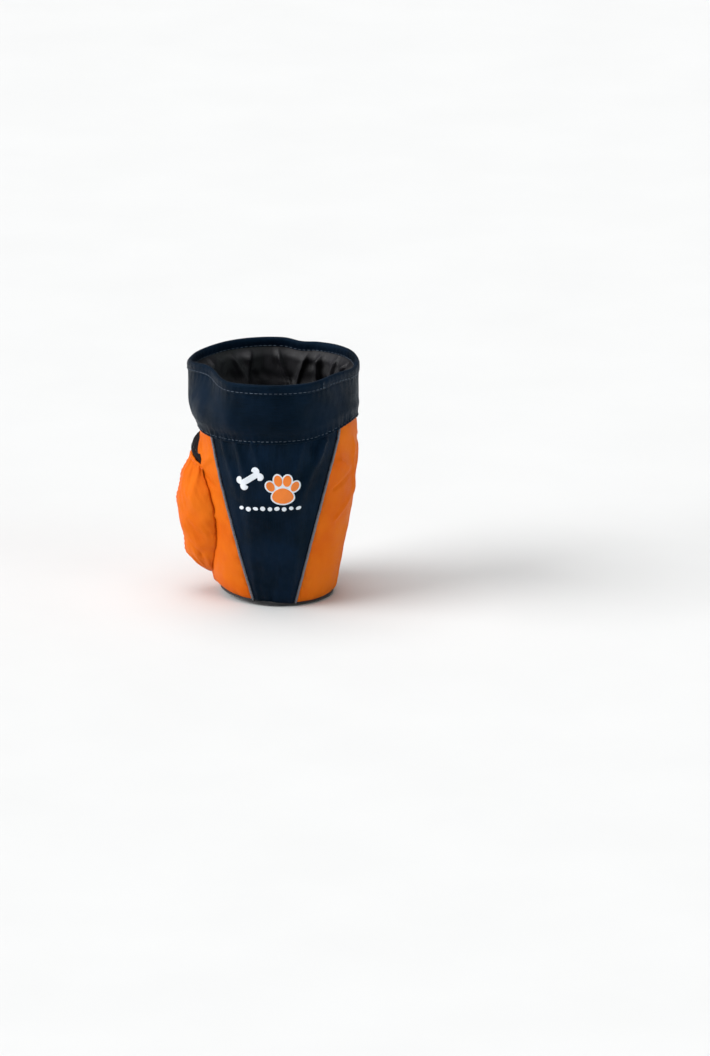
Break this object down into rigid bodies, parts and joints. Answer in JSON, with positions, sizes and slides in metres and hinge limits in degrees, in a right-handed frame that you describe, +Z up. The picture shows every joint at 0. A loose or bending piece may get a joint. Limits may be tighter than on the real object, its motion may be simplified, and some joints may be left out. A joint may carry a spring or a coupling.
{
  "type": "treat pouch",
  "caption": "Round upright dog treat pouch with an open hemmed mouth, a bulging side pocket under a flap, and a belt clip and ring on the back.",
  "frame": {"origin": "centre of the base, on the surface it stands on", "axes": "+Z up along the pouch's axis, -Y out of the front panel, -X towards the side pocket, +Y towards the belt clip"},
  "size_m": [0.1294, 0.1272, 0.165],
  "materials": {
    "navy_cloth": "plain-woven nylon, slight sheen",
    "orange_cloth": "plain-woven nylon, slight sheen",
    "black_cloth": "coarse coated cloth",
    "black_webbing": "woven webbing",
    "black_lining": "thin coated nylon, soft sheen",
    "reflective_piping": "retro-reflective cloth piping, satin",
    "interlining": "felted interlining",
    "board": "plain polypropylene sheet",
    "hoop_wire": "spring steel wire",
    "steel": "nickel plated",
    "black_steel": "black powder coat, satin"
  },
  "bodies": {
    "pouch": {"front_panel": "navy_cloth", "back_panel": "navy_cloth", "left_side_panel": "orange_cloth", "right_side_panel": "orange_cloth", "piping_front_left": "reflective_piping", "piping_front_right": "reflective_piping", "piping_back_left": "reflective_piping", "piping_back_right": "reflective_piping", "base_panel": "black_cloth", "base_binding": "black_webbing", "base_board": "board", "lining_floor": "black_lining", "lining_wall": "black_lining", "collar_band": "navy_cloth", "rim_hem": "navy_cloth", "rim_hoop": "hoop_wire", "collar_interlining": "interlining", "pocket_shell": "orange_cloth", "pocket_hem": "orange_cloth", "back_patch": "black_cloth", "clip_rivets": "steel", "belt_clip_plate": "black_steel", "ring_strap": "black_webbing"},
    "flap": {"pocket_flap": "black_cloth"},
    "clip_tongue": {"belt_clip_tongue": "black_steel"},
    "ring": {"d_ring": "steel"}
  },
  "joints": [
    {"name": "flap_hinge", "type": "hinge", "parent": "pouch", "child": "flap", "pos_m": [-0.0566, 0, 0.1127], "axis": [0, 1, 0], "range_deg": [0, 110]},
    {"name": "clip_flex", "type": "hinge", "parent": "pouch", "child": "clip_tongue", "pos_m": [0, 0.06198, 0.103], "axis": [1, 0, 0], "range_deg": [0, 10], "stiffness_Nm_per_rad": 3},
    {"name": "ring_swing", "type": "hinge", "parent": "pouch", "child": "ring", "pos_m": [0, 0.06066, 0.126], "axis": [1, 0, 0], "range_deg": [-8, 150]}
  ]
}
